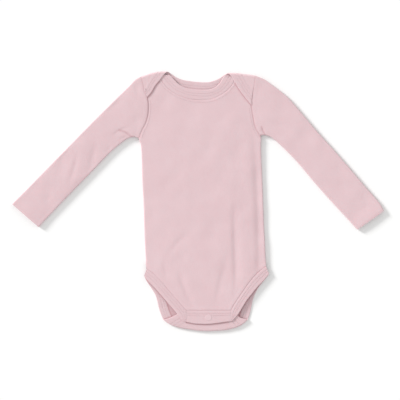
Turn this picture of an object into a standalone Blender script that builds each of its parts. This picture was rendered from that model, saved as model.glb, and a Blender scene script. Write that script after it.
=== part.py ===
"""A baby's long-sleeved bodysuit in fine rib knit, lying flat on its back.

The shoulders are lapped: the back's shoulder ends fold over the front. At the crotch the back's tab folds up and is
snapped under the front's tab. X runs across the body, Y towards the neck and Z up from the surface it lies on. Every
length below is in millimetres, and build_wall and build_disc turn them into metres.
"""

import bpy
import numpy as np

METRES = 0.001

# Cloth.
SINGLE = 1.0  # wall of one layer of rib knit
DOUBLE = 1.8  # wall of a folded strip, such as a neckband, a leg binding or a hem
SEAM_GAP = 0.3  # clear space between two pieces that are sewn together
SIDE_BEND = 1.7  # radius of the middle of the wall where a flattened tube turns over
LAP_BEND = 2.6  # the same where a shoulder lap folds over, with the front inside it
TAB_BEND = 1.2  # the same where the crotch tab folds up

# Levels of the middle of the wall above the surface.
FRONT_LEVEL = SINGLE / 2 + 2 * SIDE_BEND
FRONT_TAB_LEVEL = 5.5
BODY_LOFT = 0.8  # how far the front stands up between its sides
SLEEVE_LOFT = 0.6

# Trims.
NECKBAND_WIDTH = 15.5
LEG_BINDING_WIDTH = 13.0
SNAP_RADIUS = 4.75
SNAP_CENTRE = (15.8, -174.4)


def table(columns, rows):
    """Rows of numbers as an array with named columns."""
    return np.array(rows, dtype=[(name, float) for name in columns.split()])


# Sides of the body from the shoulder fold down to the top of the leg bindings. Above y = 94 they are the armholes.
BODY = table(
    "y left right",
    [
        (188, -85.5, 85.6),
        (182, -84.2, 84.8),
        (174, -81.8, 83.6),
        (167, -81.0, 82.5),
        (159, -77.4, 81.0),
        (152, -75.8, 80.3),
        (137, -75.0, 81.0),
        (125, -76.5, 83.2),
        (116, -79.5, 84.8),
        (107, -84.0, 88.0),
        (99, -87.0, 93.0),
        (94, -88.3, 94.4),
        (86, -86.2, 94.5),
        (77, -85.2, 94.5),
        (60, -84.6, 95.2),
        (32, -83.8, 96.4),
        (-10, -81.6, 98.0),
        (-40, -80.8, 99.2),
        (-70, -79.6, 100.8),
        (-97, -77.8, 102.0),
    ],
)
# Heights of the rows that the front, the back and the sleeves share along the armholes, and of the rows below them.
ARMHOLE_ROWS = (176.0, 165.0, 153.0, 140.0, 125.0, 112.0, 101.0)
BODY_ROWS = (93.0, 84.0, 60.0, 10.0, -40.0, -80.0, -97.0)

# Seam between the front and its snap placket.
PLACKET_TOP = -164.0
PLACKET_CORNER = 6  # row of the leg binding's table at the corner of the placket
LEG_STATIONS = 9  # along each front leg binding down to that corner
PLACKET_STATIONS = 4  # and from there to its end

# Free edges of the back's leg openings on the flat pattern, from the side seams to the end of the crotch tab.
BACK_LEGS = table(
    "y left right",
    [
        (-112.0, -81.0, 105.0),
        (-121.0, -76.5, 97.5),
        (-130.0, -70.5, 90.5),
        (-139.0, -64.8, 85.8),
        (-148.0, -61.6, 82.4),
        (-157.0, -59.6, 80.4),
        (-166.0, -57.0, 78.4),
        (-178.0, -52.0, 74.6),
        (-190.5, -45.2, 68.6),
        (-199.5, -39.0, 63.1),
        (-208.0, -32.0, 59.0),
        (-217.0, -27.0, 56.0),
        (-226.0, -24.0, 54.0),
    ],
)
BACK_TAB_END = -162.0  # where the folded-up tab ends, under the front's placket

# Outermost line of the shoulder folds, and of the crotch fold.
SHOULDER_FOLD = table(
    "x y",
    [
        (-90.0, 185.2),
        (-85.5, 187.1),
        (-76.5, 190.4),
        (-67.5, 193.1),
        (-56.0, 194.49),
        (-42.0, 194.49),
        (42.0, 192.6),
        (63.0, 191.8),
        (76.0, 190.2),
        (85.5, 188.6),
        (90.0, 187.0),
    ],
)
CROTCH_FOLD = table(
    "x y",
    [
        (-56.0, -174.5),
        (-52.0, -178.0),
        (-43.5, -184.1),
        (-34.5, -187.9),
        (-27.0, -190.1),
        (-9.0, -193.1),
        (3.0, -194.6),
        (15.0, -195.1),
        (27.0, -194.6),
        (43.5, -193.1),
        (55.5, -190.1),
        (67.5, -184.1),
        (75.0, -177.5),
        (79.0, -173.0),
    ],
)

# Free edge of the back's neckband: round the neck, then as it lies on the front, down each shoulder lap.
NECK_BACK = table(
    "x y",
    [
        (-42.5, 193.0),
        (-37.5, 189.4),
        (-30.0, 184.9),
        (-21.0, 181.9),
        (-12.0, 180.4),
        (3.0, 178.9),
        (15.0, 178.9),
        (24.0, 181.0),
        (30.0, 183.6),
        (36.0, 187.2),
        (42.5, 191.6),
    ],
)
LAP_LEFT = table(
    "x y", [(-75.6, 157.0), (-71.0, 162.0), (-64.5, 172.9), (-57.0, 182.0), (-52.5, 188.0)]
)
LAP_RIGHT = table(
    "x y", [(50.5, 186.5), (56.0, 177.5), (63.0, 165.9), (72.0, 154.1), (80.4, 144.0)]
)

# Front neckband: its free edge, and its seam. Both ends are hidden in the shoulder folds.
NECK_FRONT = table(
    "edge_x edge_y seam_x seam_y",
    [
        (-43.5, 190.3, -60.5, 189.6),
        (-39.0, 186.2, -53.5, 180.0),
        (-33.5, 180.0, -47.5, 172.4),
        (-27.0, 174.4, -38.5, 164.9),
        (-18.0, 170.1, -25.5, 158.0),
        (-6.0, 167.9, -10.5, 153.6),
        (6.0, 167.3, 4.0, 152.3),
        (18.0, 168.1, 20.5, 153.6),
        (28.0, 172.6, 35.0, 160.0),
        (34.5, 180.2, 45.5, 168.2),
        (37.5, 185.6, 52.0, 176.0),
        (40.5, 188.8, 57.5, 188.2),
    ],
)

# Front leg bindings: free edge and seam, from the hip to the end of the tab.
LEG_FRONT = {
    "left": table(
        "edge_x edge_y seam_x seam_y",
        [
            (-81.0, -112.1, -77.0, -101.3),
            (-74.0, -120.6, -66.0, -109.6),
            (-64.5, -130.1, -55.0, -121.0),
            (-54.5, -141.5, -45.0, -132.6),
            (-45.0, -152.6, -35.2, -144.1),
            (-36.0, -162.8, -26.2, -154.3),
            (-29.5, -171.3, -17.8, -164.0),
            (-25.3, -176.8, -17.4, -172.5),
            (-20.5, -180.2, -17.0, -181.2),
        ],
    ),
    "right": table(
        "edge_x edge_y seam_x seam_y",
        [
            (106.5, -109.1, 102.2, -97.8),
            (98.5, -118.9, 89.5, -107.8),
            (90.0, -127.6, 80.4, -117.6),
            (81.0, -138.5, 71.8, -129.0),
            (73.5, -148.1, 64.4, -140.2),
            (66.8, -158.8, 56.9, -151.0),
            (61.0, -168.4, 49.4, -164.0),
            (55.5, -174.8, 49.2, -172.0),
            (52.0, -178.6, 49.0, -179.9),
        ],
    ),
}

# Snap placket: its top seam is straight, and this is its free edge.
PLACKET = table(
    "x y",
    [(-17.0, -181.2), (-9.0, -182.9), (3.0, -184.0), (15.0, -184.1), (29.0, -182.6), (49.0, -179.9)],
)

# Outlines of the flattened sleeves, from the shoulder and from the armpit to the cuff.
SLEEVE = {
    "left": {
        "over": table("x y", [(-85.6, 187.2), (-92.0, 184.2), (-104.0, 172.6), (-279.0, -4.1)]),
        "under": table(
            "x y",
            [
                (-88.3, 94.0),
                (-94.0, 96.2),
                (-103.5, 94.9),
                (-118.0, 85.4),
                (-131.8, 73.4),
                (-155.0, 49.4),
                (-200.0, 2.9),
                (-239.3, -38.6),
            ],
        ),
    },
    "right": {
        "over": table(
            "x y",
            [
                (85.6, 188.6),
                (97.5, 184.1),
                (109.5, 175.9),
                (121.5, 166.9),
                (133.5, 157.0),
                (146.5, 142.6),
                (171.0, 113.6),
                (212.0, 67.5),
                (250.5, 22.5),
                (275.5, -8.0),
                (279.0, -14.6),
            ],
        ),
        "under": table(
            "x y",
            [
                (93.4, 98.6),
                (100.0, 99.3),
                (108.0, 97.1),
                (116.0, 91.9),
                (124.0, 84.4),
                (146.3, 61.8),
                (177.0, 25.6),
                (209.0, -10.0),
                (239.3, -42.4),
            ],
        ),
    },
}

# Largest folds of the upper layer: where each starts and ends, its half width, and its height (a hollow is negative).
FOLDS = table(
    "x0 y0 x1 y1 half_width height",
    [
        (82.5, 96.0, 90.0, -103.0, 6.0, -1.0),  # down the body, inside its right side
        (53.5, -6.0, 55.5, -140.0, 5.5, -0.8),
        (-16.5, -52.0, -42.0, -76.0, 5.0, -0.5),
        (-27.0, -118.0, -7.5, -155.0, 5.0, -0.8),
        (39.0, -95.0, 30.0, -148.0, 5.0, -0.6),
        (-127.5, 98.0, -102.0, 110.0, 4.0, -1.2),  # the tuck under the left arm
        (-116.0, 101.0, -96.0, 101.5, 3.0, 0.9),
        (-118.0, 92.5, -101.0, 98.5, 3.0, -1.0),
        (-183.0, 74.0, -195.0, 21.0, 6.0, -0.9),
        (-154.5, 92.0, -162.0, 44.0, 6.0, -0.8),
        (-93.0, 179.0, -88.0, 156.0, 5.0, -0.7),
        (115.0, 120.0, 128.0, 112.0, 6.0, -0.7),
        (240.0, 18.0, 262.0, -4.0, 6.0, -0.6),
    ],
)

PINK = (0.80, 0.565, 0.60, 1.0)
PINK_BAND = (0.78, 0.54, 0.58, 1.0)
SNAP_PINK = (0.83, 0.60, 0.63, 1.0)


def smooth(at, knots, values):
    """Reads a curve through (knots, values): a cubic between two knots, its slope at a knot taken from both sides."""
    order = np.argsort(knots)
    knots, values = np.asarray(knots)[order], np.asarray(values)[order]
    slopes = np.gradient(values, knots)
    at = np.clip(at, knots[0], knots[-1])
    low = np.clip(np.searchsorted(knots, at) - 1, 0, len(knots) - 2)
    span = knots[low + 1] - knots[low]
    t = (at - knots[low]) / span
    ends = (2 * t**3 - 3 * t**2 + 1) * values[low] + (3 * t**2 - 2 * t**3) * values[low + 1]
    bends = (t**3 - 2 * t**2 + t) * slopes[low] + (t**3 - t**2) * slopes[low + 1]
    return ends + span * bends


def ease(amount):
    """0 below 0, 1 above 1, and a smooth rise between."""
    t = np.clip(amount, 0, 1)
    return t * t * (3 - 2 * t)


def run_along(x, y, count):
    """count points, evenly spaced along the smooth curve through the points (x, y)."""
    steps = np.hypot(np.diff(x), np.diff(y))
    length = np.concatenate([[0], np.cumsum(steps)])
    fine = np.linspace(0, length[-1], 400)
    fine_x, fine_y = smooth(fine, length, x), smooth(fine, length, y)
    travelled = np.concatenate([[0], np.cumsum(np.hypot(np.diff(fine_x), np.diff(fine_y)))])
    at = np.linspace(0, travelled[-1], count)
    return np.stack([np.interp(at, travelled, fine_x), np.interp(at, travelled, fine_y)], axis=-1)


def set_off(curve, distance):
    """The curve moved sideways, to the right of its own direction, by distance."""
    along = np.gradient(curve, axis=0)
    along /= np.linalg.norm(along, axis=1, keepdims=True)
    return curve + distance * np.stack([along[:, 1], -along[:, 0]], axis=-1)


def side(name, y):
    """Side of the body at the heights y, straight from one of its rows to the next."""
    rows = np.array(BODY_ROWS[::-1] + ARMHOLE_ROWS[::-1] + (188.0,))
    return np.interp(y, rows, smooth(rows, BODY["y"], BODY[name]))


def closed_side(y):
    """1 where the front and back turn over into a side seam, and 0 at the armholes and the leg openings."""
    return ease((97 - y) / 12) * ease((y + 97) / 12)


# The front.


def relief(x, y):
    """Height of the folds at (x, y): each is a rounded trough or ridge along a straight line, faded at its ends."""
    height = np.zeros(np.broadcast(x, y).shape)
    for fold in FOLDS:
        run = np.array([fold["x1"] - fold["x0"], fold["y1"] - fold["y0"]])
        length = np.hypot(*run)
        along = ((x - fold["x0"]) * run[0] + (y - fold["y0"]) * run[1]) / length
        across = ((x - fold["x0"]) * run[1] - (y - fold["y0"]) * run[0]) / length
        fade = ease(along / (0.3 * length) + 0.5) * ease((length - along) / (0.3 * length) + 0.5)
        height += fold["height"] * fade * np.exp(-((across / fold["half_width"]) ** 2))
    return height


def front_level(x, y):
    """Height of the middle of the front's wall: lofted between the sides, and raised over the folded-up back tab."""
    raised = ease((-108 - y) / 60)
    level = FRONT_LEVEL + (FRONT_TAB_LEVEL - FRONT_LEVEL) * raised
    inside = np.minimum(x - side("left", y), side("right", y) - x)
    loft = BODY_LOFT * (1 - (1 - np.clip(inside / 55, 0, 1)) ** 2)
    free = ease((152 - y) / 50) * (1 - raised)
    return level + loft * free + relief(x, y) * ease((150 - y) / 30) * (1 - 0.8 * raised)


# The back, drawn on its flat pattern and then folded.


def shoulder_fold(x):
    return smooth(x, SHOULDER_FOLD["x"], SHOULDER_FOLD["y"]) - LAP_BEND - DOUBLE / 2


def crotch_fold(x):
    return smooth(x, CROTCH_FOLD["x"], CROTCH_FOLD["y"]) + TAB_BEND + DOUBLE / 2


def lay_back(x, y, level):
    """Folds the point (x, y) of the flat back: round a half turn past each fold line, then back over the lower layer."""
    seen_y = np.clip(y, crotch_fold(x), shoulder_fold(x))
    z = np.full(np.shape(y), float(level))
    for past, bend, way in ((y - shoulder_fold(x), LAP_BEND, 1), (crotch_fold(x) - y, TAB_BEND, -1)):
        past = np.maximum(past, 0)
        turn = np.minimum(past / bend, np.pi)
        seen_y = seen_y + way * (bend * np.sin(turn) - np.maximum(past - np.pi * bend, 0))
        z = z + bend * (1 - np.cos(turn))
    return np.stack([x + 0 * y, seen_y, z], axis=-1)


def unfold_lap(x, seen_y):
    """Where a point of a shoulder lap, seen lying on the front, is on the flat pattern."""
    return 2 * shoulder_fold(x) + np.pi * LAP_BEND - seen_y


def unfold_tab(x, seen_y):
    return 2 * crotch_fold(x) - np.pi * TAB_BEND - seen_y


def back_side(name, y):
    """Side of the flat back. Past the shoulder fold it is the armhole that the lap folds onto."""
    x = side(name, np.asarray(y, float))
    for _ in range(6):
        x = side(name, np.where(y > -97, lay_back(x, y, 0)[..., 1], -97))
    return x


def back_leg_seam(name):
    """Seam of the back's leg binding on the flat pattern, one binding width in from its free edge."""
    edge = run_along(BACK_LEGS[name], BACK_LEGS["y"], 120)
    inwards = -1 if name == "left" else 1
    return set_off(edge, inwards * (LEG_BINDING_WIDTH + SEAM_GAP / 2))


def back_neck_edge():
    x = np.concatenate([LAP_LEFT["x"], NECK_BACK["x"], LAP_RIGHT["x"]])
    left = unfold_lap(LAP_LEFT["x"], LAP_LEFT["y"])
    right = unfold_lap(LAP_RIGHT["x"], LAP_RIGHT["y"])
    return run_along(x, np.concatenate([left, NECK_BACK["y"], right]), 300)


BACK_NECK_EDGE = back_neck_edge()
BACK_NECK_SEAM = set_off(BACK_NECK_EDGE, NECKBAND_WIDTH)
BACK_LEG_SEAM = {"left": back_leg_seam("left"), "right": back_leg_seam("right")}


def seam_or_side(name, y):
    """Side of the back's panel all the way down: the body's side, then the seam of the leg binding."""
    seam = BACK_LEG_SEAM[name]
    below = np.interp(-y, -seam[:, 1], seam[:, 0])
    above = back_side(name, y)
    return np.where(y < -102, below, np.where(y > -96, above, above + (below - above) * (-96 - y) / 6))


# Walls.


def unit(vectors):
    return vectors / np.linalg.norm(vectors, axis=-1, keepdims=True)


def directions(grid, ring):
    """Direction of the grid along its first axis, at each point. A ring joins its last point to its first."""
    if ring:
        steps = unit(np.diff(np.concatenate([grid[-1:], grid, grid[:1]]), axis=0))
        return unit(steps[:-1] + steps[1:])
    steps = unit(np.diff(grid, axis=0))
    first = 1.5 * steps[:1] - 0.5 * steps[1:2]
    last = 1.5 * steps[-1:] - 0.5 * steps[-2:-1]
    return unit(np.concatenate([first, steps[:-1] + steps[1:], last]))


def finish(name, colour, roughness):
    material = bpy.data.materials.new(name)
    material.use_nodes = True
    shader = material.node_tree.nodes["Principled BSDF"]
    shader.inputs["Base Color"].default_value = colour
    shader.inputs["Roughness"].default_value = roughness
    shader.inputs["Metallic"].default_value = 0.0
    return material


def add_object(name, points, faces, material):
    mesh = bpy.data.meshes.new(name)
    mesh.from_pydata((np.asarray(points) * METRES).tolist(), [], [list(map(int, face)) for face in faces])
    mesh.materials.append(material)
    mesh.shade_smooth()
    mesh.set_sharp_from_angle(angle=np.radians(40))
    mesh.update()
    piece = bpy.data.objects.new(name, mesh)
    bpy.context.scene.collection.objects.link(piece)
    return piece


def build_wall(name, middle, thickness, material, ring=False):
    """A piece of cloth: the grid of its middle (rows, columns, xyz) moved out by half its thickness to both sides."""
    down = directions(middle, False)
    across = np.swapaxes(directions(np.swapaxes(middle, 0, 1), ring), 0, 1)
    reach = unit(np.cross(down, across)) * np.asarray(thickness)[..., None] / 2
    points = np.concatenate([(middle + reach).reshape(-1, 3), (middle - reach).reshape(-1, 3)])
    rows, columns = middle.shape[:2]
    outer = np.arange(rows * columns).reshape(rows, columns)
    if ring:
        outer = np.concatenate([outer, outer[:, :1]], axis=1)
    inner = outer + rows * columns
    faces = [
        (outer[:-1, :-1], outer[1:, :-1], outer[1:, 1:], outer[:-1, 1:]),
        (inner[:-1, 1:], inner[1:, 1:], inner[1:, :-1], inner[:-1, :-1]),
        (outer[0, :-1], outer[0, 1:], inner[0, 1:], inner[0, :-1]),
        (outer[-1, 1:], outer[-1, :-1], inner[-1, :-1], inner[-1, 1:]),
    ]
    if not ring:
        faces.append((outer[1:, 0], outer[:-1, 0], inner[:-1, 0], inner[1:, 0]))
        faces.append((outer[:-1, -1], outer[1:, -1], inner[1:, -1], inner[:-1, -1]))
    quads = np.concatenate([np.stack(corners, axis=-1).reshape(-1, 4) for corners in faces])
    return add_object(name, points, quads, material)


# Columns of the panels. At each side they start on the seam and go round the bend of the flattened tube.
BEND_ANGLES = np.radians([7.0, 45.0, 90.0])
BEND_IN = SIDE_BEND * (1 - np.cos(BEND_ANGLES))
BEND_RISE = SIDE_BEND * (1 - np.sin(BEND_ANGLES))


def panel_columns(inner_shares):
    """Share of the width, distance in from the nearer side, and rise towards the seam, for each column."""
    middle = np.zeros(len(inner_shares))
    share = np.concatenate([np.zeros(3), inner_shares, np.ones(3)])
    inwards = np.concatenate([BEND_IN, middle, -BEND_IN[::-1]])
    rise = np.concatenate([BEND_RISE, middle, BEND_RISE[::-1]])
    return share, inwards, rise


def panel_x(left, right, y, share, inwards):
    """X of the panel's columns at the heights y: clear of the seams by half a gap, or of the outline by half a wall."""
    clear = SEAM_GAP / 2 + (SINGLE - SEAM_GAP) / 2 * closed_side(y)
    left_x, right_x = left + clear, right - clear
    return left_x + share * (right_x - left_x) + inwards


FRONT_SHARES = np.concatenate([[0.05], np.linspace(0.1, 0.855, 16), [0.93]])


def front_top(share, inwards):
    """Top of the front in each column: under its neckband, or hidden in the shoulder folds beside it."""
    seam = run_along(NECK_FRONT["seam_x"], NECK_FRONT["seam_y"], 200)
    slope = np.gradient(seam[:, 1], seam[:, 0])
    clear = seam[:, 1] - SEAM_GAP * np.hypot(1, slope)
    top = np.full(len(share), 180.0)
    for _ in range(8):
        x = panel_x(side("left", top), side("right", top), top, share, inwards)
        shoulder = shoulder_fold(x) - 4.5
        neck = np.interp(x, seam[:, 0], clear)
        top = np.where((x > seam[0, 0]) & (x < seam[-1, 0]), np.minimum(neck, shoulder), shoulder)
    return x, top


def make_front(material):
    share, inwards, rise = panel_columns(FRONT_SHARES)
    top = front_top(share, inwards)[1]
    rows = [top]
    rows += [np.minimum(y, top - 0.8 * step) for step, y in enumerate(ARMHOLE_ROWS[:3], start=1)]
    rows += [np.full(len(share), y) for y in ARMHOLE_ROWS[3:] + BODY_ROWS]
    y = np.stack(rows)
    x = panel_x(side("left", y), side("right", y), y, share, inwards)
    left, right = (leg_curve(LEG_FRONT[name], "seam")[1:LEG_STATIONS] for name in ("left", "right"))
    legs = left[:, None] + share[:, None] * (right - left)[:, None]
    clear = SEAM_GAP * (1 - 2 * share)
    x = np.concatenate([x, legs[..., 0] + clear + inwards])
    y = np.concatenate([y, legs[..., 1] + SEAM_GAP / 2])
    z = front_level(x, y) - rise * closed_side(y)
    build_wall("front_panel", np.stack([x, y, z], axis=-1), SINGLE, material)


BACK_SHARES = np.array([0.03, 0.06, 0.09, 0.12, 0.155, 0.195, 0.25, 0.32, 0.4])
BACK_SHARES = np.concatenate([BACK_SHARES, 1 - BACK_SHARES[::-1]])


ROW_BOW = 2.0  # how far the middle of one of the back's rows is above its ends


def back_x(y, share, inwards, clear=0.0):
    """X of the flat back's columns at the heights y."""
    return panel_x(seam_or_side("left", y) + clear, seam_or_side("right", y) - clear, y, share, inwards)


def meet(curve, share, inwards, lower=0.0):
    """Height at which each column of the flat back meets the curve, less a gap square to the curve."""
    slope = np.gradient(curve[:, 1], curve[:, 0])
    wanted = curve[:, 1] - lower * np.hypot(1, slope)
    y = np.full(len(share), 195.0)
    for _ in range(30):
        y = y + 0.4 * (np.interp(back_x(y, share, inwards), curve[:, 0], wanted) - y)
    return y


def lap_rows(x):
    """Rows of the flat back over a shoulder, from a lap's end down to the fold line."""
    rows = [unfold_lap(x, seen) for seen in ARMHOLE_ROWS[1::-1]]
    return rows + [shoulder_fold(x) + np.pi * LAP_BEND * step / 4 for step in (4, 3, 2, 1, 0)]


def make_back(material):
    """Its rows bow a little between the sides: where the cloth is flat, points in line would make slivers."""
    share, inwards, rise = panel_columns(BACK_SHARES)
    bow = ROW_BOW * 4 * share * (1 - share)
    top = meet(BACK_NECK_SEAM, share, inwards, lower=2.6 * SEAM_GAP)
    wanted = lap_rows(back_x(np.maximum(top, 186), share, inwards)) + [y + bow for y in ARMHOLE_ROWS[:3]]
    rows = [top] + [np.minimum(y, top - 0.8 * step) for step, y in enumerate(wanted, start=1)]
    for y in ARMHOLE_ROWS[3:] + BODY_ROWS + (-108.0, -120.0, -132.0, -144.0, -157.0, -170.0):
        rows.append(y + bow)
    fold = crotch_fold(back_x(np.full(len(share), -186.0), share, inwards))
    rows += [fold - np.pi * TAB_BEND * step / 4 for step in range(5)]
    end = unfold_tab(back_x(np.full(len(share), -215.0), share, inwards), BACK_TAB_END)
    start = rows[-1]
    rows += [start + (end - start) * part for part in (0.35, 0.7, 1.0)]
    y = np.stack(rows)
    middle = lay_back(back_x(y, share, inwards), y, SINGLE / 2)
    middle[..., 2] += rise * closed_side(y)
    build_wall("back_panel", middle, SINGLE, material)


def make_back_neckband(material):
    """The columns of the back carried on through its neckband, round the neck and down the laps."""
    share, inwards, _ = panel_columns(BACK_SHARES)
    top = meet(BACK_NECK_EDGE, share, inwards)
    bottom = meet(BACK_NECK_SEAM, share, inwards)
    inner, outer = top - 1.0, bottom + 1.0
    rows = [top, inner]
    for step, wanted in enumerate(lap_rows(back_x((top + bottom) / 2, share, inwards))[2:]):
        rows.append(np.clip(wanted, outer + 0.5 * (5 - step), inner - 0.5 * (step + 1)))
    rows += [outer, bottom]
    y = np.stack(rows)
    thickness = np.full(y.shape, DOUBLE)
    thickness[0] = 0.5 * DOUBLE
    middle = lay_back(back_x(y, share, inwards, clear=0.5), y, DOUBLE / 2)
    build_wall("neckband_back", middle, thickness, material)


def strip(edge, seam, shares):
    """Points across a band, from its free edge to its seam, for each pair of points on the two."""
    return edge[:, None] + (seam - edge)[:, None] * shares[:, None]


BAND_SHARES = np.array([0.0, 0.06, 0.5, 1.0])
BAND_THICKNESS = DOUBLE * np.array([0.5, 1.0, 1.0, 1.0])


def make_front_neckband(material):
    """Its stations are the front's columns, so that the two sides of the seam match."""
    share, inwards, _ = panel_columns(FRONT_SHARES)
    edge = run_along(NECK_FRONT["edge_x"], NECK_FRONT["edge_y"], 200)
    seam = run_along(NECK_FRONT["seam_x"], NECK_FRONT["seam_y"], 200)
    x = front_top(share, inwards)[0]
    inside = x[(x > seam[0, 0] + 2) & (x < seam[-1, 0] - 2)]
    index = np.arange(200)
    at = np.concatenate([[0], np.interp(inside, seam[:, 0], index), [199]])
    edge = np.stack([np.interp(at, index, edge[:, axis]) for axis in (0, 1)], axis=-1)
    seam = np.stack([np.interp(at, index, seam[:, axis]) for axis in (0, 1)], axis=-1)
    flat = strip(edge, seam, BAND_SHARES)
    flat[..., 1] = np.minimum(flat[..., 1], shoulder_fold(flat[..., 0]) - 3.0)
    z = front_level(flat[..., 0], flat[..., 1])
    thickness = np.broadcast_to(BAND_THICKNESS, z.shape)
    build_wall("neckband_front", np.dstack([flat, z]), thickness, material)


def leg_curve(rows, name):
    """Stations along one edge of a front leg binding. The front has a row at each of them down to the placket."""
    x, y = rows[name + "_x"], rows[name + "_y"]
    upper = run_along(x[: PLACKET_CORNER + 1], y[: PLACKET_CORNER + 1], LEG_STATIONS)
    lower = run_along(x[PLACKET_CORNER:], y[PLACKET_CORNER:], PLACKET_STATIONS)
    return np.concatenate([upper, lower[1:]])


def make_front_leg_binding(name, material):
    flat = strip(leg_curve(LEG_FRONT[name], "edge"), leg_curve(LEG_FRONT[name], "seam"), BAND_SHARES)
    z = front_level(flat[..., 0], flat[..., 1])
    thickness = np.broadcast_to(BAND_THICKNESS, z.shape)
    build_wall("leg_binding_front_" + name, np.dstack([flat, z]), thickness, material)


def make_placket(material):
    edge = run_along(PLACKET["x"], PLACKET["y"], 10)
    edge[:, 0] += SEAM_GAP * np.linspace(1, -1, 10)
    seam = np.stack([np.linspace(-17.2, 48.8, 10), np.full(10, PLACKET_TOP - SEAM_GAP / 2)], axis=-1)
    flat = strip(edge, seam, BAND_SHARES)
    z = front_level(flat[..., 0], flat[..., 1])
    thickness = np.broadcast_to(BAND_THICKNESS, z.shape)
    build_wall("snap_placket", np.dstack([flat, z]), thickness, material)


def make_back_leg_binding(name, material):
    inwards = -1 if name == "left" else 1
    edge = run_along(BACK_LEGS[name], BACK_LEGS["y"], 120)
    seam = set_off(edge, inwards * (LEG_BINDING_WIDTH - SEAM_GAP))
    fold = crotch_fold(edge[:, 0])
    past = fold - edge[:, 1]
    length = np.concatenate([[0], np.cumsum(np.linalg.norm(np.diff(edge, axis=0), axis=1))])
    middle_of_fold = np.interp(np.pi * TAB_BEND / 2, past, length)
    end = np.interp(-unfold_tab(edge[-1, 0], BACK_TAB_END), -edge[:, 1], length)
    before = np.linspace(0, middle_of_fold - 9, 8)[:-1]
    across = np.linspace(middle_of_fold - 9, middle_of_fold + 9, 13)
    after = np.linspace(middle_of_fold + 9, end, 5)[1:]
    at = np.concatenate([before, across, after])
    edge = np.stack([np.interp(at, length, edge[:, axis]) for axis in (0, 1)], axis=-1)
    seam = np.stack([np.interp(at, length, seam[:, axis]) for axis in (0, 1)], axis=-1)
    shares = np.array([0.0, 0.06, 0.35, 0.65, 1.0])
    flat = strip(edge, seam, shares)
    thickness = np.broadcast_to(DOUBLE * np.array([0.5, 1, 1, 1, 1]), flat.shape[:2])
    middle = lay_back(flat[..., 0], flat[..., 1], DOUBLE / 2)
    build_wall("leg_binding_back_" + name, middle, thickness, material)


# Sleeves.


def make_sleeve(name, material):
    """A flattened tube: rows run from the armhole to the cuff, and each is a loop over the top and back underneath."""
    outward = -1 if name == "left" else 1
    along = np.array([0, 0.03, 0.07, 0.13, 0.21, 0.32, 0.45, 0.6, 0.77, 0.942, 0.948, 1.0])
    over = run_along(SLEEVE[name]["over"]["x"], SLEEVE[name]["over"]["y"], 400)
    under = run_along(SLEEVE[name]["under"]["x"], SLEEVE[name]["under"]["y"], 400)
    place = along * 399
    index = np.arange(400)
    over = np.stack([np.interp(place, index, over[:, axis]) for axis in (0, 1)], axis=-1)
    under = np.stack([np.interp(place, index, under[:, axis]) for axis in (0, 1)], axis=-1)
    width = np.linalg.norm(under - over, axis=1)[:, None]
    turn = np.radians([-90.0, -45.0, 0.0, 45.0, 90.0])
    bend_in = SIDE_BEND * (1 - np.cos(turn)) + SINGLE / 2
    bend_up = SIDE_BEND * (1 + np.sin(turn))
    top = (over[0, 1] - np.array(ARMHOLE_ROWS)) / (over[0, 1] - under[0, 1])
    base = top[::-1]
    across = np.concatenate(
        [np.broadcast_to(bend_in, (len(along), 5)), top * width, width - bend_in[::-1], base * width], axis=1
    )
    rise = np.concatenate([bend_up, np.full(len(top), 2 * SIDE_BEND), bend_up[::-1], np.zeros(len(base))])
    share = across / width
    armhole_y = over[0, 1] + share * (under[0, 1] - over[0, 1])
    armhole_x = side(name, armhole_y)
    chord_x = over[0, 0] + share * (under[0, 0] - over[0, 0])
    bulge = (1 - ease(along / 0.35))[:, None] * (armhole_x - chord_x)
    spot = over[:, None] + share[..., None] * (under - over)[:, None]
    x = spot[..., 0] + bulge + outward * SEAM_GAP / 2
    y = spot[..., 1]
    upper = rise / (2 * SIDE_BEND)
    crown = 4 * share * (1 - share)
    fullness = SLEEVE_LOFT * np.sqrt(crown) * ease(along / 0.1 + 0.3)[:, None]
    cap = 1.2 * ((1 - share) * np.exp(-along[:, None] / 0.08))
    hem = (along > 0.945)[:, None] * 1.0
    z = SINGLE / 2 + rise + upper * (fullness + cap + relief(x, y) * crown) + hem * (DOUBLE - SINGLE) / 2
    thickness = SINGLE + hem * (DOUBLE - SINGLE) + 0 * z
    build_wall("sleeve_" + name, np.stack([x, y, z], axis=-1), thickness, material, ring=True)


# The snap.


def build_disc(name, centre, profile, material, sides=20):
    """A turned piece: rings of the profile (radius, z), closed at the top and the bottom."""
    turn = np.linspace(0, 2 * np.pi, sides, endpoint=False)
    around = np.stack([np.cos(turn), np.sin(turn)], axis=-1)
    radius, z = np.array(profile).T
    flat = np.array(centre) + radius[:, None, None] * around
    height = np.broadcast_to(z[:, None, None], flat.shape[:2] + (1,))
    points = np.concatenate([flat, height], axis=-1).reshape(-1, 3)
    ring = np.arange(len(points)).reshape(len(profile), sides)
    following = np.roll(ring, -1, axis=1)
    faces = np.stack([ring[:-1], following[:-1], following[1:], ring[1:]], axis=-1).reshape(-1, 4).tolist()
    faces += [ring[0][::-1].tolist(), ring[-1].tolist()]
    return add_object(name, points, faces, material)


def make_snap(material):
    """The cap on the placket, and the socket that grips the stud between the two tabs."""
    x, y = SNAP_CENTRE
    seat = float(front_level(np.array(x), np.array(y))) + DOUBLE / 2 + SEAM_GAP
    rim = [(0.9, 0.0), (1.0, 0.25), (0.97, 0.55), (0.85, 0.85), (0.55, 1.05), (0.2, 1.1)]
    build_disc("snap_cap", (x, y), [(SNAP_RADIUS * r, seat + z) for r, z in rim], material)
    tab_top = SINGLE + 2 * TAB_BEND
    low, high = tab_top + SEAM_GAP, FRONT_TAB_LEVEL - DOUBLE / 2 - SEAM_GAP
    build_disc("snap_socket", (x, y), [(4.0, low), (4.2, (low + high) / 2), (4.0, high)], material)


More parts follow.
